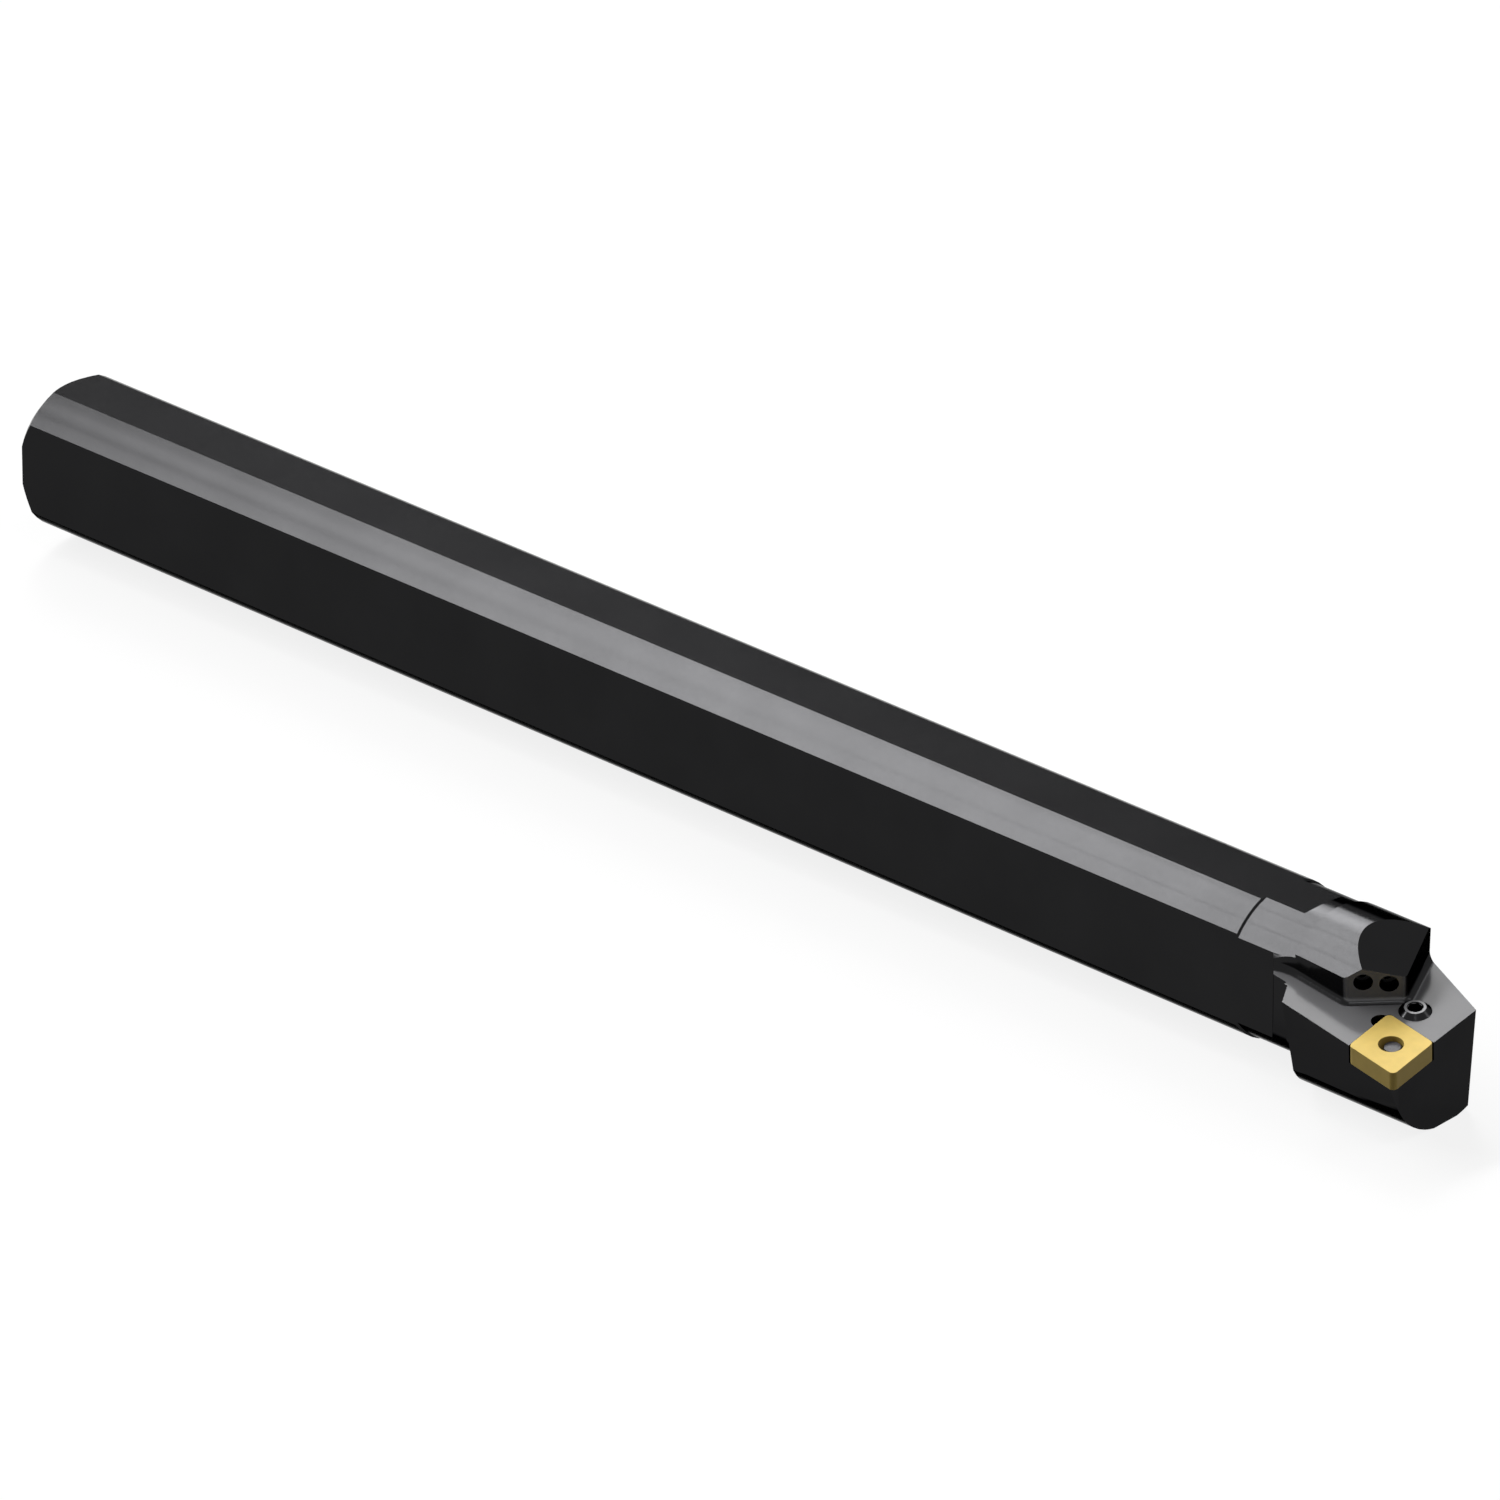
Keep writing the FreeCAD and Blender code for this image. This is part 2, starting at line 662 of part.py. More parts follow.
half_socket = socket_width / 2
socket_corner = socket_width / root(as_size(3))
lead_sketch = new_sketch(screw, "socket_lead_outline", "XY_Plane", shift(0, 0, screw_rise))
draw_circle(lead_sketch, 0, 0, socket_corner * 2)
pocket(screw, "socket_lead", lead_sketch, socket_lead)
hexagon_sketch = new_sketch(screw, "socket_outline", "XY_Plane", shift(0, 0, screw_rise))
draw_outline(hexagon_sketch, [
    (socket_corner, 0),
    (socket_corner / 2, half_socket),
    (-socket_corner / 2, half_socket),
    (-socket_corner, 0),
    (-socket_corner / 2, -half_socket),
    (socket_corner / 2, -half_socket),
])
pocket(screw, "socket", hexagon_sketch, socket_depth)

document.recompute()
for item in document.Objects:
    if "Invalid" in item.State or "Error" in item.State:
        raise RuntimeError(f"{item.Label} has state {item.State}")
for body in (bar, insert, lever, screw):
    shape = body.Shape
    if shape.isNull() or not shape.isValid() or len(shape.Solids) != 1:
        raise RuntimeError(f"{body.Label} is not one valid solid")
    shape.exportStep(f"parts/{body.Label}.step")
    print(body.Label, round(shape.Volume, 1), shape.BoundBox)
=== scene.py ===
import json
import math

import bmesh
import bpy
from mathutils import Matrix, Vector


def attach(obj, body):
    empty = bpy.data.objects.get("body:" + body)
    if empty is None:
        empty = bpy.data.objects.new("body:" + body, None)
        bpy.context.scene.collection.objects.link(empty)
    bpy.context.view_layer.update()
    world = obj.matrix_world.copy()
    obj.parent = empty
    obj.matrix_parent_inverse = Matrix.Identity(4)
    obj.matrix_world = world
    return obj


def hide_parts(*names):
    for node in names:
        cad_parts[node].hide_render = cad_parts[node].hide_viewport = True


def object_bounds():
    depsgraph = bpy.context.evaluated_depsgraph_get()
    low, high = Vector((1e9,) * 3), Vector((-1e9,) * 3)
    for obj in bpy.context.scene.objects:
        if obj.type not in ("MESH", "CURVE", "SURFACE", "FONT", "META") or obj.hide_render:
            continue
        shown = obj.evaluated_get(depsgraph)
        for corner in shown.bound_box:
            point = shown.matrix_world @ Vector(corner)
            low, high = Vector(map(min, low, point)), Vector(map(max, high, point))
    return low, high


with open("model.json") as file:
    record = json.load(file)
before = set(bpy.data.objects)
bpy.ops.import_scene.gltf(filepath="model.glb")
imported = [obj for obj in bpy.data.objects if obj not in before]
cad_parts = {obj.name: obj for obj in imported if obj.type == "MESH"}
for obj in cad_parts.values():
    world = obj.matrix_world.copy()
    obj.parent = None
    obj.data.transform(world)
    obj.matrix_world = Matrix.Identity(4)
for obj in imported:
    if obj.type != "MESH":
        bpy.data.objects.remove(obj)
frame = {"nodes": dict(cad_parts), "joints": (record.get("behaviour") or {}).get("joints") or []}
cad_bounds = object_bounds()

bl_info = {
    "name": "Boring Bar Dresser",
    "version": (1, 0, 0),
    "blender": (4, 5, 0),
    "location": "View3D > Sidebar > Boring Bar",
    "description": "Gives a lever-clamped boring bar its finishes, threads and stage",
    "category": "Object",
}

MM = 0.001
# Points of a solid that lie closer than this are one
MERGE = 0.002 * MM
# Facets that turn less than this lie in one plane
PLANE_TURN = math.radians(0.4)
# Facets that turn less than this are one smooth face
SMOOTH_TURN = math.radians(22)
# Corners that turn more than this are broken edges
EDGE_TURN = math.radians(28)
# The head's length back from the bar's front end, and the length over which the painted light of its pocket
# starts
HEAD_LENGTH = 36 * MM
HEAD_FADE = 2 * MM
# The inlet's thread runs between these depths from the back end
INLET_THREAD = (0.9 * MM, 11.6 * MM)
# The screw's thread runs between these depths from its top, with a slope of this length at each end
SCREW_THREAD = (1.3 * MM, 5.7 * MM)
SCREW_LEAD = 0.35 * MM
SCREW_RADIUS = 2.45 * MM
# The shaft under the screw's ridge is this much thinner than the ridge's foot
SCREW_SINK = 0.02 * MM
# Where the camera aims, and the share of the bar's length at which lamps for the shank aim
CAMERA_AIM = (0.151152, 0, -0.002717)
SHANK_SHARE = 0.88
# Strips along the round: the lean of the middle and the span, in degrees, and the share of the radiance
STRIPS = ((8.4, 11.6, 1.15), (21, 14, 1.0), (35, 14, 1.05), (49, 14, 1.05))
STRIP_WIDTH = math.radians(7)
WORLD_FILL = 0.03
FLOOR_SIZE = 12.0
FLOOR_GLOW = 0.85


class BORINGBAR_PG_finish(bpy.types.PropertyGroup):
    """Colours, painted light and shade, and edge breaks of the pieces."""

    steel_colour: bpy.props.FloatVectorProperty(
        name="Blackened steel", description="Colour of the black oxide on the bar",
        subtype="COLOR", size=3, default=(0.0155, 0.0155, 0.016), min=0, max=1)
    # Painted light: a paler colour on the pocket floor and port wall, standing in for the light on them
    pocket_light_colour: bpy.props.FloatVectorProperty(
        name="Pocket floor",
        description="Colour of the milled floor and port wall of the chip pocket",
        subtype="COLOR", size=3, default=(0.16, 0.16, 0.165), min=0, max=1)
    insert_colour: bpy.props.FloatVectorProperty(
        name="Insert coating", description="Colour of the gold coating on the insert",
        subtype="COLOR", size=3, default=(0.80, 0.58, 0.16), min=0, max=1)
    # Painted shade on the insert: its flanks keep only this share of its colour
    flank_shade_share: bpy.props.FloatProperty(
        name="Flank tone",
        description="Share of the insert's colour that its ground flanks keep",
        default=0.55, min=0, max=1)
    lever_colour: bpy.props.FloatVectorProperty(
        name="Lever steel", description="Colour of the hardened lever",
        subtype="COLOR", size=3, default=(0.12, 0.12, 0.13), min=0, max=1)
    # Painted highlight: a paler colour on the up-facing rim around the screw's socket
    rim_highlight_colour: bpy.props.FloatVectorProperty(
        name="Worn rim",
        description="Colour of the rim around the screw's socket, bare where the key rubs it",
        subtype="COLOR", size=3, default=(0.34, 0.34, 0.35), min=0, max=1)
    bar_edge: bpy.props.FloatProperty(
        name="Bar edge", description="Width of the broken edges on the bar",
        subtype="DISTANCE", unit="LENGTH", default=0.10 * MM, min=0)
    insert_edge: bpy.props.FloatProperty(
        name="Insert edge", description="Width of the honed edges on the insert",
        subtype="DISTANCE", unit="LENGTH", default=0.05 * MM, min=0)


class BORINGBAR_PG_thread(bpy.types.PropertyGroup):
    """Sizes of the threads that the solids leave plain."""

    inlet_pitch: bpy.props.FloatProperty(
        name="Inlet pitch", description="Pitch of the coolant inlet's pipe thread",
        subtype="DISTANCE", unit="LENGTH", default=0.907 * MM, min=0.1 * MM)
    inlet_root: bpy.props.FloatProperty(
        name="Inlet root radius",
        description="Radius at the foot of the inlet's thread, just inside the wall",
        subtype="DISTANCE", unit="LENGTH", default=4.46 * MM, min=0.1 * MM)
    inlet_crest: bpy.props.FloatProperty(
        name="Inlet crest radius", description="Radius at the crest of the inlet's thread",
        subtype="DISTANCE", unit="LENGTH", default=4.10 * MM, min=0.1 * MM)
    screw_pitch: bpy.props.FloatProperty(
        name="Screw pitch", description="Pitch of the lever screw's thread",
        subtype="DISTANCE", unit="LENGTH", default=0.80 * MM, min=0.1 * MM)
    screw_root: bpy.props.FloatProperty(
        name="Screw root radius", description="Radius at the foot of the screw's thread",
        subtype="DISTANCE", unit="LENGTH", default=2.05 * MM, min=0.1 * MM)
    screw_crest: bpy.props.FloatProperty(
        name="Screw crest radius", description="Radius at the crest of the screw's thread",
        subtype="DISTANCE", unit="LENGTH", default=2.44 * MM, min=0.1 * MM)


class BORINGBAR_PG_stage(bpy.types.PropertyGroup):
    """Camera and light of the product picture."""

    azimuth: bpy.props.FloatProperty(
        name="Azimuth", description="Angle of the view from the front of the frame",
        subtype="ANGLE", unit="ROTATION", default=math.radians(44.70))
    elevation: bpy.props.FloatProperty(
        name="Elevation", description="Angle of the view above the horizon",
        subtype="ANGLE", unit="ROTATION", default=math.radians(25.269))
    distance: bpy.props.FloatProperty(
        name="Distance", description="Distance from the camera to its target",
        subtype="DISTANCE", unit="LENGTH", default=2.61317, min=0.1)
    lens: bpy.props.FloatProperty(
        name="Lens", description="Focal length in millimetres on a 36 mm sensor",
        subtype="DISTANCE_CAMERA", default=412.27, min=1)
    reach: bpy.props.FloatProperty(
        name="Light distance", description="Distance from the bar to the softboxes",
        subtype="DISTANCE", unit="LENGTH", default=8.0, min=0.5)
    strip_radiance: bpy.props.FloatProperty(
        name="Strip", description="Radiance of the strip that shines along the round of the bar",
        default=22.0, min=0)
    panel_radiance: bpy.props.FloatProperty(
        name="Panel", description="Radiance of the panel that shines in the chip pocket's floor",
        default=7.0, min=0)
    overhead_radiance: bpy.props.FloatProperty(
        name="Overhead",
        description="Radiance of the box over the head that lights the pocket and the insert",
        default=4.5, min=0)
    rear_radiance: bpy.props.FloatProperty(
        name="Rear", description="Radiance of the box that shows the far side of the bar",
        default=3.5, min=0)
    kicker_radiance: bpy.props.FloatProperty(
        name="Kicker", description="Radiance of the small box that glints on edges and hole rims",
        default=13.0, min=0)


def shader_tree(name):
    """A new node material with a Principled shader; returns the material, its tree and the shader."""
    material = bpy.data.materials.new(name)
    material.use_nodes = True
    tree = material.node_tree
    shader = next(n for n in tree.nodes if n.type == "BSDF_PRINCIPLED")
    return material, tree, shader


def add_node(tree, kind, settings=None, **inputs):
    """Adds a node, sets its settings and its inputs by name; an input may be a socket to link."""
    made = tree.nodes.new(kind)
    for key, value in (settings or {}).items():
        setattr(made, key, value)
    for key, value in inputs.items():
        socket = made.inputs[key.replace("_", " ")]
        if isinstance(value, bpy.types.NodeSocket):
            tree.links.new(value, socket)
        else:
            socket.default_value = value
    return made


def grain(tree, coordinates, scale, detail, stretch=(1, 1, 1)):
    """Noise in the object's own millimetres, stretched along its axes."""
    mapping = add_node(tree, "ShaderNodeMapping", Vector=coordinates)
    mapping.inputs["Scale"].default_value = [s / MM for s in stretch]
    return add_node(tree, "ShaderNodeTexNoise", Vector=mapping.outputs["Vector"], Scale=scale, Detail=detail)


def spread(tree, value, low, high):
    """Maps noise to a range of values."""
    return add_node(
        tree, "ShaderNodeMapRange", Value=value, From_Min=0.3, From_Max=0.7, To_Min=low, To_Max=high)


def largest_face(fits):
    """The unit normal and the distance from the origin of the bar's largest plane whose facets fit."""
    areas = {}
    for face in frame["nodes"]["bar"].data.polygons:
        if fits(face):
            plane = tuple(round(part, 3) for part in face.normal) + (round(face.center.dot(face.normal), 4),)
            areas[plane] = areas.get(plane, 0) + face.area
    plane = max(areas, key=areas.get)
    return Vector(plane[:3]).normalized(), plane[3]


def pocket_planes():
    """The chip pocket's floor, square to the screw, and the wall with the ports, which faces the insert."""
    travel = next(joint for joint in frame["joints"] if joint["name"] == "screw_travel")
    up = Vector(travel["axis"]).normalized()
    floor = largest_face(lambda face: face.normal.dot(up) > 0.9999)
    wall = largest_face(lambda face: face.normal.x > 0.6 and face.normal.y < -0.6 and face.center.z > 3 * MM)
    return floor, wall


def ramp(tree, value, start, end):
    """Rises smoothly from nought to one between two values."""
    return add_node(
        tree, "ShaderNodeMapRange", {"interpolation_type": "SMOOTHSTEP"},
        Value=value, From_Min=start, From_Max=end, To_Min=0.0, To_Max=1.0).outputs["Result"]


def sums(tree, operation, first, second):
    """A Math node over two sockets or numbers."""
    made = tree.nodes.new("ShaderNodeMath")
    made.operation = operation
    for index, value in enumerate((first, second)):
        if isinstance(value, bpy.types.NodeSocket):
            tree.links.new(value, made.inputs[index])
        else:
            made.inputs[index].default_value = value
    return made.outputs["Value"]


def off_plane(tree, coordinates, plane):
    """A point's height above a plane, and how squarely its surface faces as the plane does."""
    normal, level = plane
    dots = []
    for output in ("Object", "Normal"):
        dot = add_node(tree, "ShaderNodeVectorMath", {"operation": "DOT_PRODUCT"})
        tree.links.new(coordinates.outputs[output], dot.inputs[0])
        dot.inputs[1].default_value = normal
        dots.append(dot.outputs["Value"])
    return sums(tree, "SUBTRACT", dots[0], level), dots[1]


def pocket_light_mask(tree, coordinates):
    """Mask for painted light: one on the milled floor and port wall of the chip pocket, fading out in the
    fillets, where the paler colour stands in for the light on them.
    """
    floor, wall = pocket_planes()
    height, floor_facing = off_plane(tree, coordinates, floor)
    depth, wall_facing = off_plane(tree, coordinates, wall)
    floor_gap = sums(tree, "ABSOLUTE", height, 0.0)
    wall_gap = sums(tree, "ABSOLUTE", depth, 0.0)
    near_floor = ramp(tree, floor_gap, 1.4 * MM, 0.1 * MM)
    on_floor = sums(tree, "MULTIPLY", near_floor, ramp(tree, floor_facing, 0.93, 0.995))
    near_wall = ramp(tree, wall_gap, 3.2 * MM, 2.8 * MM)
    on_wall = sums(tree, "MULTIPLY", near_wall, ramp(tree, wall_facing, 0.7, 1.0))
    place = add_node(tree, "ShaderNodeSeparateXYZ", Vector=coordinates.outputs["Object"])
    neck = cad_bounds[1][0] - HEAD_LENGTH
    on_head = ramp(tree, place.outputs["X"], neck, neck + HEAD_FADE)
    above = ramp(tree, height, -0.06 * MM, -0.01 * MM)
    # Painted light: the floor and port wall get the paler colour
    milled = sums(tree, "MAXIMUM", on_floor, on_wall)
    return sums(tree, "MULTIPLY", milled, sums(tree, "MULTIPLY", on_head, above))


def rim_highlight_mask(tree, coordinates):
    """Mask for a painted highlight: one on the raised rim around the screw's socket, where it faces up."""
    height, facing = off_plane(tree, coordinates, pocket_planes()[0])
    raised = ramp(tree, height, 0.4 * MM, 0.6 * MM)
    return sums(tree, "MULTIPLY", raised, ramp(tree, facing, 0.9, 0.99))


def blackened_steel(name, finish, painted_light_colour, painted_light_mask):
    """Black oxide over ground and milled steel, with faint tool lines, a soft gloss, and painted light: a
    paler, non-metal colour where a mask says.
    """
    material, tree, shader = shader_tree(name)
    coordinates = add_node(tree, "ShaderNodeTexCoord")
    place = coordinates.outputs["Object"]
    cloud = grain(tree, place, 0.08, 3)
    fine = grain(tree, place, 1.6, 4)
    lines = grain(tree, place, 1.0, 2, stretch=(6.0, 0.15, 0.15))
    # Painted light: the mask picks the places that get the paler colour and lose their metal
    light = painted_light_mask(tree, coordinates)
    base = add_node(tree, "ShaderNodeMix", {"data_type": "VECTOR"}, Factor=light)
    base.inputs["A"].default_value = finish.steel_colour
    base.inputs["B"].default_value = painted_light_colour
    tone = spread(tree, cloud.outputs["Fac"], 0.94, 1.06)
    colour = add_node(tree, "ShaderNodeVectorMath", {"operation": "SCALE"})
    tree.links.new(base.outputs["Result"], colour.inputs[0])
    tree.links.new(tone.outputs["Result"], colour.inputs["Scale"])
    tree.links.new(colour.outputs["Vector"], shader.inputs["Base Color"])
    tree.links.new(sums(tree, "SUBTRACT", 1.0, light), shader.inputs["Metallic"])
    shader.inputs["Specular IOR Level"].default_value = 0.17
    gloss = spread(tree, fine.outputs["Fac"], 0.15, 0.17)
    tree.links.new(gloss.outputs["Result"], shader.inputs["Roughness"])
    edge_on = add_node(tree, "ShaderNodeLayerWeight", Blend=0.5)
    sheen = add_node(
        tree, "ShaderNodeMapRange", Value=edge_on.outputs["Facing"],
        From_Min=0.60, From_Max=0.78, To_Min=0.5, To_Max=0.1)
    tree.links.new(sheen.outputs["Result"], shader.inputs["Specular Tint"])
    height = sums(tree, "ADD", fine.outputs["Fac"], lines.outputs["Fac"])
    bump = add_node(tree, "ShaderNodeBump", Strength=0.08, Distance=0.01 * MM, Height=height)
    tree.links.new(bump.outputs["Normal"], shader.inputs["Normal"])
    return material


def gold_coating(finish):
    """Gold nitride coating on a ground carbide insert, with painted shade on its flanks."""
    material, tree, shader = shader_tree("gold_coating")
    coordinates = add_node(tree, "ShaderNodeTexCoord")
    place = coordinates.outputs["Object"]
    cloud = grain(tree, place, 0.5, 3)
    fine = grain(tree, place, 9.0, 3)
    tone = spread(tree, cloud.outputs["Fac"], 0.95, 1.04)
    facing = add_node(tree, "ShaderNodeVectorMath", {"operation": "DOT_PRODUCT"})
    tree.links.new(coordinates.outputs["Normal"], facing.inputs[0])
    facing.inputs[1].default_value = pocket_planes()[0][0]
    # Painted shade: the flanks, which face away from the pocket floor's normal, keep only a share of the
    # colour
    on_top = ramp(tree, facing.outputs["Value"], 0.35, 0.85)
    face = add_node(
        tree, "ShaderNodeMapRange", Value=on_top,
        From_Min=0.0, From_Max=1.0, To_Min=finish.flank_shade_share, To_Max=1.0)
    colour = add_node(tree, "ShaderNodeVectorMath", {"operation": "SCALE"})
    colour.inputs[0].default_value = finish.insert_colour
    shade = sums(tree, "MULTIPLY", tone.outputs["Result"], face.outputs["Result"])
    tree.links.new(shade, colour.inputs["Scale"])
    tree.links.new(colour.outputs["Vector"], shader.inputs["Base Color"])
    gloss = spread(tree, fine.outputs["Fac"], 0.40, 0.50)
    tree.links.new(gloss.outputs["Result"], shader.inputs["Roughness"])
    shader.inputs["Specular IOR Level"].default_value = 0.1
    bump = add_node(
        tree, "ShaderNodeBump", Strength=0.15, Distance=0.004 * MM, Height=fine.outputs["Fac"])
    tree.links.new(bump.outputs["Normal"], shader.inputs["Normal"])
    return material


def bare_steel(finish):
    """Hardened steel left grey, with a fine grain."""
    material, tree, shader = shader_tree("hardened_steel")
    place = add_node(tree, "ShaderNodeTexCoord").outputs["Object"]
    fine = grain(tree, place, 3.0, 4)
    tone = spread(tree, fine.outputs["Fac"], 0.94, 1.05)
    colour = add_node(tree, "ShaderNodeVectorMath", {"operation": "SCALE"})
    colour.inputs[0].default_value = finish.lever_colour
    tree.links.new(tone.outputs["Result"], colour.inputs["Scale"])
    tree.links.new(colour.outputs["Vector"], shader.inputs["Base Color"])
    gloss = spread(tree, fine.outputs["Fac"], 0.26, 0.32)
    tree.links.new(gloss.outputs["Result"], shader.inputs["Roughness"])
    shader.inputs["Specular IOR Level"].default_value = 0.15
    return material


def dressed_copy(node_name, piece_name, edge_width, reshape=None):
    """A copy of a solid with merged points, broken edges and smooth round faces."""
    source = frame["nodes"][node_name]
    mesh = source.data.copy()
    if reshape:
        reshape(mesh)
    form = bmesh.new()
    form.from_mesh(mesh)
    bmesh.ops.remove_doubles(form, verts=form.verts, dist=MERGE)
    bmesh.ops.dissolve_limit(
        form, angle_limit=PLANE_TURN, verts=form.verts, edges=form.edges, delimit={"NORMAL"})
    form.to_mesh(mesh)
    form.free()
    for layer in ("custom_normal", "sharp_face", "sharp_edge"):
        if layer in mesh.attributes:
            mesh.attributes.remove(mesh.attributes[layer])
    mesh.polygons.foreach_set("use_smooth", [True] * len(mesh.polygons))
    mesh.set_sharp_from_angle(angle=SMOOTH_TURN)
    piece = bpy.data.objects.new(piece_name + "_draft", mesh)
    bpy.context.scene.collection.objects.link(piece)
    if edge_width > 0:
        bevel = piece.modifiers.new("broken_edges", "BEVEL")
        bevel.width = edge_width
        bevel.segments = 2
        bevel.limit_method = "ANGLE"
        bevel.angle_limit = EDGE_TURN
        bevel.use_clamp_overlap = True
        bevel.miter_outer = "MITER_ARC"
    weights = piece.modifiers.new("face_weights", "WEIGHTED_NORMAL")
    weights.keep_sharp = True
    weights.weight = 80
    return plain_mesh(piece, piece_name)


def plain_mesh(draft, piece_name):
    """Turns a draft with modifiers into a plain mesh object at the origin."""
    bpy.context.view_layer.update()
    graph = bpy.context.evaluated_depsgraph_get()
    mesh = bpy.data.meshes.new_from_object(draft.evaluated_get(graph), depsgraph=graph)
    mesh.name = piece_name
    old = draft.data
    bpy.data.objects.remove(draft)
    if old.users == 0:
        bpy.data.meshes.remove(old)
    piece = bpy.data.objects.new(piece_name, mesh)
    bpy.context.scene.collection.objects.link(piece)
    return piece


def finish_piece(piece, material, body, replaced=None):
    """Gives a piece its material and its place on the frame."""
    piece.data.materials.clear()
    piece.data.materials.append(material)
    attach(piece, body)
    if replaced:
        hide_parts(replaced)


def join(tree, source, target, socket):
    """Links a socket to a node's input by name."""
    tree.links.new(source, target.inputs[socket])


def thread_tree(material):
    """Geometry nodes for one thread ridge that winds up the Z axis and fades out at both ends."""
    tree = bpy.data.node_groups.new("thread_ridge", "GeometryNodeTree")
    for name in ("Pitch", "Turns", "Root Radius", "Crest Radius"):
        tree.interface.new_socket(name=name, in_out="INPUT", socket_type="NodeSocketFloat")
    tree.interface.new_socket(name="Geometry", in_out="OUTPUT", socket_type="NodeSocketGeometry")
    given = tree.nodes.new("NodeGroupInput").outputs
    result = tree.nodes.new("NodeGroupOutput")

    spiral = tree.nodes.new("GeometryNodeCurveSpiral")
    spiral.inputs["Resolution"].default_value = 48
    join(tree, given["Turns"], spiral, "Rotations")
    join(tree, given["Root Radius"], spiral, "Start Radius")
    join(tree, given["Root Radius"], spiral, "End Radius")
    join(tree, sums(tree, "MULTIPLY", given["Pitch"], given["Turns"]), spiral, "Height")
    upright = tree.nodes.new("GeometryNodeSetCurveNormal")
    upright.mode = "Z_UP"
    join(tree, spiral.outputs["Curve"], upright, "Curve")

    along = tree.nodes.new("GeometryNodeSplineParameter").outputs["Factor"]
    nearer_end = sums(tree, "MINIMUM", along, sums(tree, "SUBTRACT", 1.0, along))
    turns_in = sums(tree, "MULTIPLY", nearer_end, given["Turns"])
    fade = sums(tree, "MAXIMUM", sums(tree, "MINIMUM", sums(tree, "MULTIPLY", turns_in, 2.0), 1.0), 0.05)
    faded = tree.nodes.new("GeometryNodeSetCurveRadius")
    join(tree, upright.outputs["Curve"], faded, "Curve")
    join(tree, fade, faded, "Radius")

    inward = sums(tree, "SUBTRACT", given["Root Radius"], given["Crest Radius"])
    profile = tree.nodes.new("GeometryNodeCurvePrimitiveQuadrilateral")
    profile.mode = "POINTS"
    for number, (share, high) in enumerate(((-0.42, False), (0.42, False), (0.08, True), (-0.08, True))):
        corner = tree.nodes.new("ShaderNodeCombineXYZ")
        if high:
            join(tree, inward, corner, "X")
        join(tree, sums(tree, "MULTIPLY", given["Pitch"], share), corner, "Y")
        join(tree, corner.outputs["Vector"], profile, f"Point {number + 1}")

    ridge = tree.nodes.new("GeometryNodeCurveToMesh")
    ridge.inputs["Fill Caps"].default_value = True
    join(tree, faded.outputs["Curve"], ridge, "Curve")
    join(tree, profile.outputs["Curve"], ridge, "Profile Curve")
    real = tree.nodes.new("GeometryNodeRealizeInstances")
    join(tree, ridge.outputs["Mesh"], real, "Geometry")
    dressed = tree.nodes.new("GeometryNodeSetMaterial")
    dressed.inputs["Material"].default_value = material
    join(tree, real.outputs["Geometry"], dressed, "Geometry")
    join(tree, dressed.outputs["Geometry"], result, "Geometry")
    return tree


def thread_ridge(name, material, pitch, turns, root, crest, place):
    """A thread ridge as a plain mesh, wound up the Z axis of the place."""
    tree = thread_tree(material)
    draft = bpy.data.objects.new(name + "_draft", bpy.data.meshes.new(name + "_draft"))
    bpy.context.scene.collection.objects.link(draft)
    modifier = draft.modifiers.new("ridge", "NODES")
    modifier.node_group = tree
    given = {"Pitch": pitch, "Turns": turns, "Root Radius": root, "Crest Radius": crest}
    for socket in tree.interface.items_tree:
        if socket.in_out == "INPUT":
            modifier[socket.identifier] = float(given[socket.name])
    piece = plain_mesh(draft, name)
    piece.data.transform(place)
    form = bmesh.new()
    form.from_mesh(piece.data)
    bmesh.ops.remove_doubles(form, verts=form.verts, dist=0.0005 * MM)
    bmesh.ops.recalc_face_normals(form, faces=form.faces)
    form.to_mesh(piece.data)
    form.free()
    return piece


class BORINGBAR_OT_bar(bpy.types.Operator):
    """Dress the steel bar and cut the thread of its coolant inlet"""

    bl_idname = "boring_bar.bar"
    bl_label = "Bar"

    def execute(self, context):
        finish = context.scene.boring_bar_finish
        thread = context.scene.boring_bar_thread
        piece = dressed_copy("bar", "bar_steel", finish.bar_edge)
        steel = blackened_steel("blackened_bar", finish, finish.pocket_light_colour, pocket_light_mask)
        finish_piece(piece, steel, "bar", "bar")
        start, end = INLET_THREAD
        place = Matrix.Translation((start, 0, 0)) @ Matrix.Rotation(math.radians(90), 4, "Y")
        ridge = thread_ridge(
            "inlet_thread", steel, thread.inlet_pitch, (end - start) / thread.inlet_pitch,
            thread.inlet_root, thread.inlet_crest, place)
        finish_piece(ridge, steel, "bar")
        return {"FINISHED"}


class BORINGBAR_OT_insert(bpy.types.Operator):
    """Dress the coated insert"""

    bl_idname = "boring_bar.insert"
    bl_label = "Insert"

    def execute(self, context):
        finish = context.scene.boring_bar_finish
        piece = dressed_copy("insert", "insert_coated", finish.insert_edge)
        finish_piece(piece, gold_coating(finish), "bar", "insert")
        return {"FINISHED"}


def screw_place(node):
    """The screw's place: Z along its travel, the origin on its axis at its highest point."""
    travel = next(joint for joint in frame["joints"] if joint["name"] == "screw_travel")
    axis = Vector(travel["axis"]).normalized()
    faces = node.data.polygons
    area = sum(face.area for face in faces)
    centre = sum((face.center * face.area for face in faces), Vector()) / area
    top = max((vertex.co - centre).dot(axis) for vertex in node.data.vertices)
    return Matrix.Translation(centre + axis * top) @ axis.to_track_quat("Z", "Y").to_matrix().to_4x4()


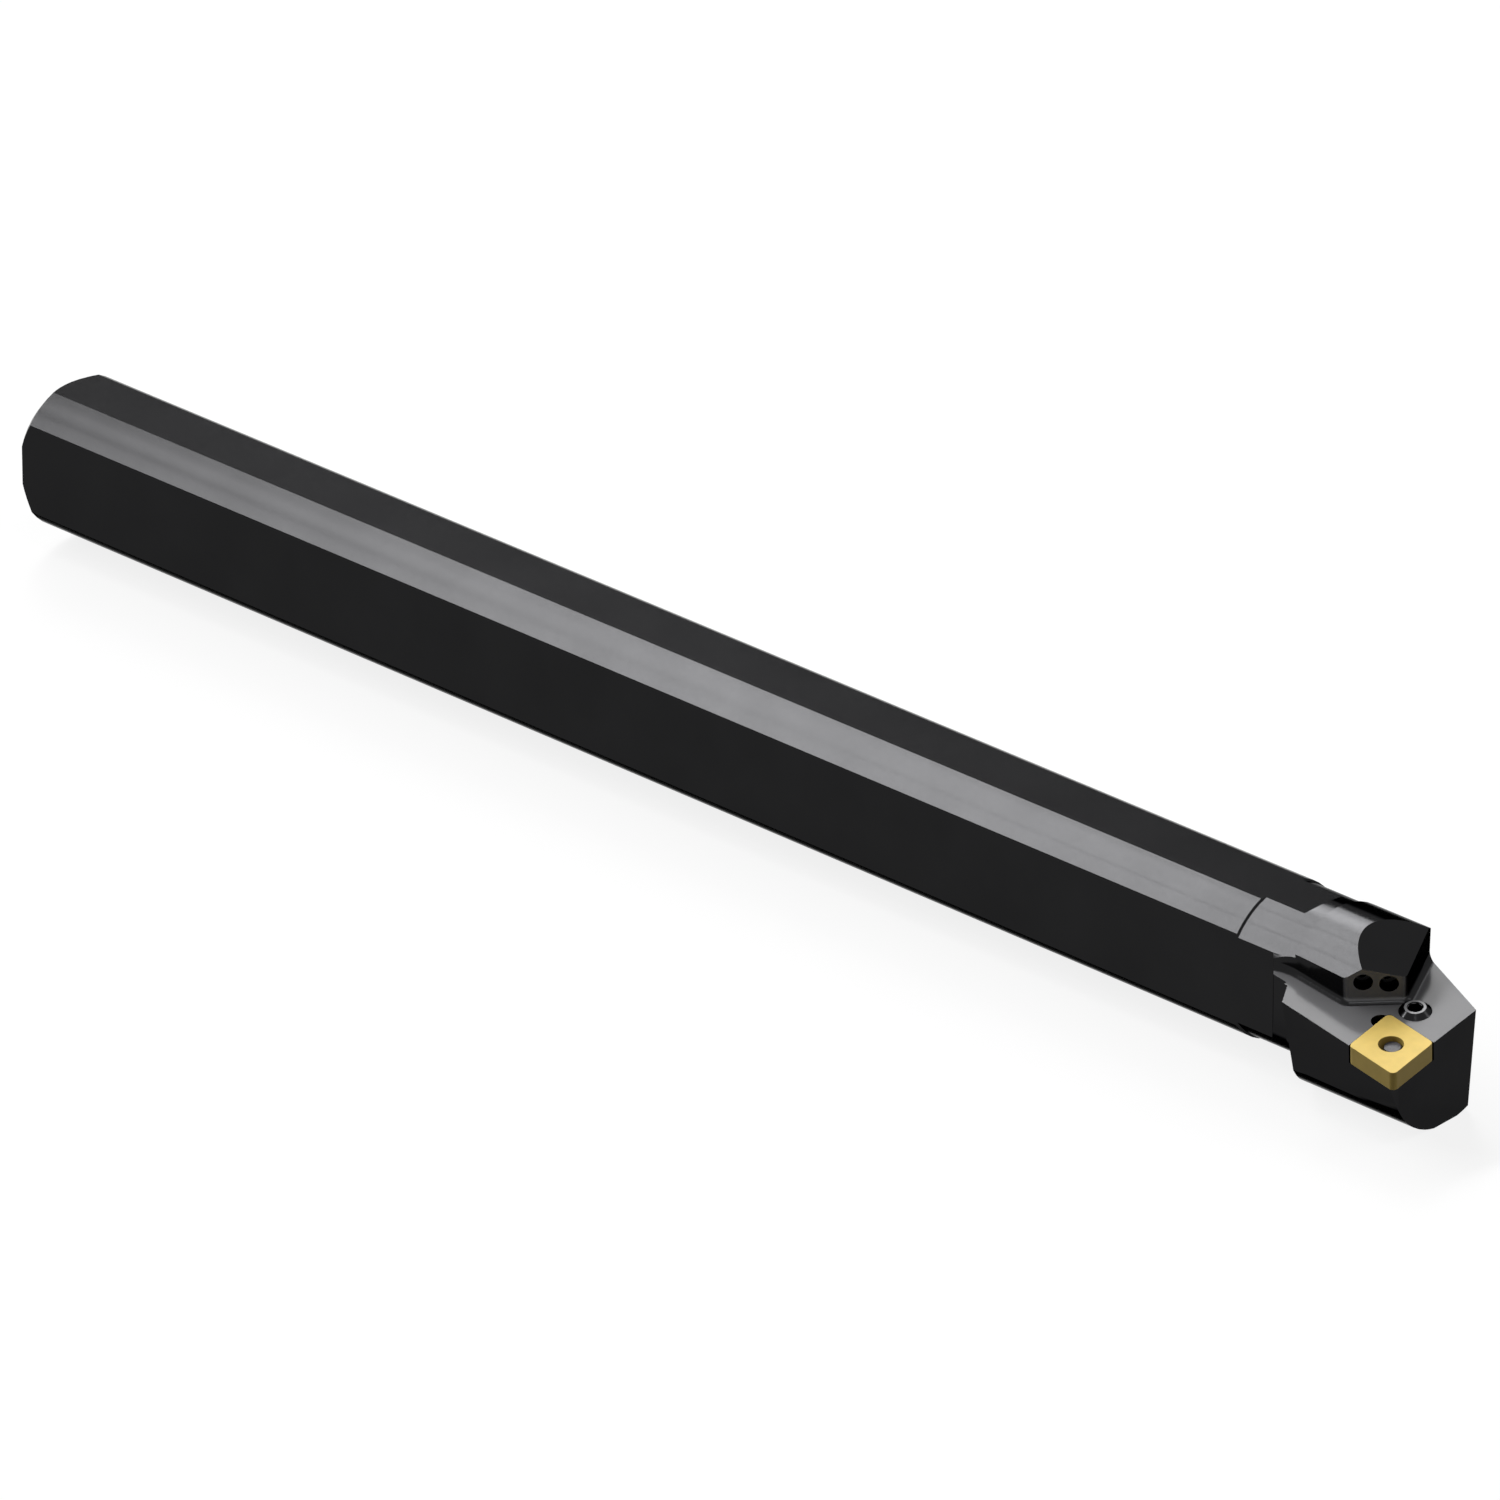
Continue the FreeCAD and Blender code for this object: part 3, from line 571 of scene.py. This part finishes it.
def neck_down(mesh, place, start, end, lead, outer, root):
    """Turns the outside of a shaft down to its thread's root between two depths, with a slope at each end."""
    form = bmesh.new()
    form.from_mesh(mesh)
    bmesh.ops.remove_doubles(form, verts=form.verts, dist=MERGE)
    form.transform(place.inverted())
    for depth in (start, start + lead, end - lead, end):
        bmesh.ops.bisect_plane(
            form, geom=form.verts[:] + form.edges[:] + form.faces[:], dist=0.001 * MM,
            plane_co=(0, 0, -depth), plane_no=(0, 0, 1))
    for vertex in form.verts:
        radius = vertex.co.xy.length
        if -end + lead / 2 < vertex.co.z < -start - lead / 2 and radius > root:
            vertex.co.xy *= root / outer
    form.transform(place)
    form.to_mesh(mesh)
    form.free()


class BORINGBAR_OT_lever(bpy.types.Operator):
    """Dress the lever under the insert and its threaded screw"""

    bl_idname = "boring_bar.lever"
    bl_label = "Lever and screw"

    def execute(self, context):
        finish = context.scene.boring_bar_finish
        thread = context.scene.boring_bar_thread
        lever = dressed_copy("lever", "lever_steel", finish.bar_edge)
        finish_piece(lever, bare_steel(finish), "lever", "lever")
        steel = blackened_steel("blackened_screw", finish, finish.rim_highlight_colour, rim_highlight_mask)
        place = screw_place(frame["nodes"]["lever_screw"])
        (start, end), lead = SCREW_THREAD, SCREW_LEAD
        root = thread.screw_root - SCREW_SINK
        screw = dressed_copy(
            "lever_screw", "screw_steel", finish.insert_edge,
            lambda mesh: neck_down(mesh, place, start, end, lead, SCREW_RADIUS, root))
        finish_piece(screw, steel, "lever_screw", "lever_screw")
        low = place @ Matrix.Translation((0, 0, lead - end))
        ridge = thread_ridge(
            "screw_thread", steel, thread.screw_pitch, (end - start - lead * 2) / thread.screw_pitch,
            thread.screw_root, thread.screw_crest, low)
        finish_piece(ridge, steel, "lever_screw")
        return {"FINISHED"}


def view_direction(azimuth, elevation):
    """The camera's viewing direction for an azimuth and elevation."""
    ahead = Vector((-math.sin(azimuth), math.cos(azimuth), 0))
    return (math.cos(elevation) * ahead - math.sin(elevation) * Vector((0, 0, 1))).normalized()


def pale_floor(low):
    """A wide pale floor that turns white for the camera but keeps the shadow."""
    size = FLOOR_SIZE
    corners = [(-size, -size, low), (size, -size, low), (size, size, low), (-size, size, low)]
    mesh = bpy.data.meshes.new("floor")
    mesh.from_pydata(corners, [], [(0, 1, 2, 3)])
    floor = bpy.data.objects.new("floor", mesh)
    bpy.context.scene.collection.objects.link(floor)
    material = bpy.data.materials.new("floor_white")
    material.use_nodes = True
    tree = material.node_tree
    tree.nodes.clear()
    output = tree.nodes.new("ShaderNodeOutputMaterial")
    seen = seen_directly(tree)
    grey = add_node(
        tree, "ShaderNodeMapRange", Value=seen, From_Min=0.0, From_Max=1.0, To_Min=0.15, To_Max=0.9)
    paint = add_node(tree, "ShaderNodeBsdfDiffuse", Color=grey.outputs["Result"])
    glow = add_node(tree, "ShaderNodeEmission", Color=(1, 1, 1, 1), Strength=1.0)
    mixer = add_node(tree, "ShaderNodeMixShader", Fac=sums(tree, "MULTIPLY", seen, FLOOR_GLOW))
    tree.links.new(paint.outputs["BSDF"], mixer.inputs[1])
    tree.links.new(glow.outputs["Emission"], mixer.inputs[2])
    tree.links.new(mixer.outputs["Shader"], output.inputs["Surface"])
    mesh.materials.append(material)


def seen_directly(tree):
    """One for rays from the camera, in a gloss or through glass, and nought for light on things."""
    path = add_node(tree, "ShaderNodeLightPath").outputs
    first = sums(tree, "MAXIMUM", path["Is Camera Ray"], path["Is Glossy Ray"])
    return sums(tree, "MAXIMUM", first, path["Is Transmission Ray"])


def white_world(fill):
    """White where it is seen, and a weak fill where it lights."""
    world = bpy.data.worlds.new("studio")
    bpy.context.scene.world = world
    world.use_nodes = True
    tree = world.node_tree
    background = next(n for n in tree.nodes if n.type == "BACKGROUND")
    background.inputs["Color"].default_value = (1, 1, 1, 1)
    strength = add_node(tree, "ShaderNodeMapRange", From_Min=0.0, From_Max=1.0, To_Min=fill, To_Max=1.0)
    tree.links.new(seen_directly(tree), strength.inputs["Value"])
    tree.links.new(strength.outputs["Result"], background.inputs["Strength"])


def mirrored(view, lean):
    """The direction that the camera sees mirrored in the round of the bar, leant over towards -Y."""
    normal = Vector((0, -math.sin(lean), math.cos(lean)))
    return view.reflect(normal).normalized()


def softbox(name, target, direction, distance, along, across, radiance):
    """A softbox around the bar's axis, sized in radians as the bar sees it."""
    lamp = bpy.data.lights.new(name, "AREA")
    lamp.shape = "RECTANGLE"
    lamp.size = along * distance
    lamp.size_y = across * distance
    lamp.energy = radiance * math.pi * lamp.size * lamp.size_y
    box = bpy.data.objects.new(name, lamp)
    bpy.context.scene.collection.objects.link(box)
    side = Vector((0, -direction.z, direction.y)).normalized()
    turned = Matrix((side, direction.cross(side), direction)).transposed()
    box.matrix_world = Matrix.Translation(target + direction * distance) @ turned.to_4x4()


class BORINGBAR_OT_stage(bpy.types.Operator):
    """Set the floor, the lights and the camera"""

    bl_idname = "boring_bar.stage"
    bl_label = "Stage"

    def execute(self, context):
        stage = context.scene.boring_bar_stage
        low, high = cad_bounds
        aim = Vector(CAMERA_AIM)
        pale_floor(low[2])
        white_world(WORLD_FILL)
        view = view_direction(stage.azimuth, stage.elevation)
        head = Vector((high[0], 0, 0))
        shank = Vector((high[0] * SHANK_SHARE, 0, 0))
        for number, (lean, span, share) in enumerate(STRIPS):
            direction = mirrored(view, math.radians(lean))
            arc = math.radians(span * 2) * direction.yz.length
            softbox(f"strip_{number}", shank, direction, stage.reach, arc, STRIP_WIDTH,
                    stage.strip_radiance * share)
        boxes = (
            ("panel", head, (-0.53, 0.455, 0.715), 14, 18, stage.panel_radiance),
            ("overhead", head, (0.40, -0.15, 0.90), 16, 16, stage.overhead_radiance),
            ("rear", shank, (0.55, 0.62, 0.56), 10, 36, stage.rear_radiance),
            ("kicker", head, (0.45, -0.50, 0.74), 6, 6, stage.kicker_radiance))
        for name, target, towards, along, across, radiance in boxes:
            softbox(name, target, Vector(towards).normalized(), stage.reach,
                    math.radians(along), math.radians(across), radiance)
        camera_data = bpy.data.cameras.new("camera")
        camera_data.sensor_width = 36
        camera_data.lens = stage.lens
        camera_data.clip_end = 20
        camera = bpy.data.objects.new("camera", camera_data)
        context.scene.collection.objects.link(camera)
        camera.location = aim - view * stage.distance
        camera.rotation_euler = view.to_track_quat("-Z", "Y").to_euler()
        context.scene.camera = camera
        context.scene.view_settings.view_transform = "Standard"
        return {"FINISHED"}


class BORINGBAR_PT_panel(bpy.types.Panel):
    """Lists the pieces of the boring bar"""

    bl_idname = "BORINGBAR_PT_panel"
    bl_label = "Boring Bar"
    bl_space_type = "VIEW_3D"
    bl_region_type = "UI"
    bl_category = "Boring Bar"

    def draw(self, context):
        for operator in OPERATORS:
            self.layout.operator(operator.bl_idname)


GROUPS = (BORINGBAR_PG_finish, BORINGBAR_PG_thread, BORINGBAR_PG_stage)
OPERATORS = (BORINGBAR_OT_bar, BORINGBAR_OT_insert, BORINGBAR_OT_lever, BORINGBAR_OT_stage)


def register():
    for item in GROUPS + OPERATORS + (BORINGBAR_PT_panel,):
        bpy.utils.register_class(item)
    bpy.types.Scene.boring_bar_finish = bpy.props.PointerProperty(type=BORINGBAR_PG_finish)
    bpy.types.Scene.boring_bar_thread = bpy.props.PointerProperty(type=BORINGBAR_PG_thread)
    bpy.types.Scene.boring_bar_stage = bpy.props.PointerProperty(type=BORINGBAR_PG_stage)


def unregister():
    del bpy.types.Scene.boring_bar_stage
    del bpy.types.Scene.boring_bar_thread
    del bpy.types.Scene.boring_bar_finish
    for item in reversed(GROUPS + OPERATORS + (BORINGBAR_PT_panel,)):
        bpy.utils.unregister_class(item)


def main():
    register()
    bpy.ops.boring_bar.bar()
    bpy.ops.boring_bar.insert()
    bpy.ops.boring_bar.lever()
    bpy.ops.boring_bar.stage()


if __name__ == "__main__":
    main()
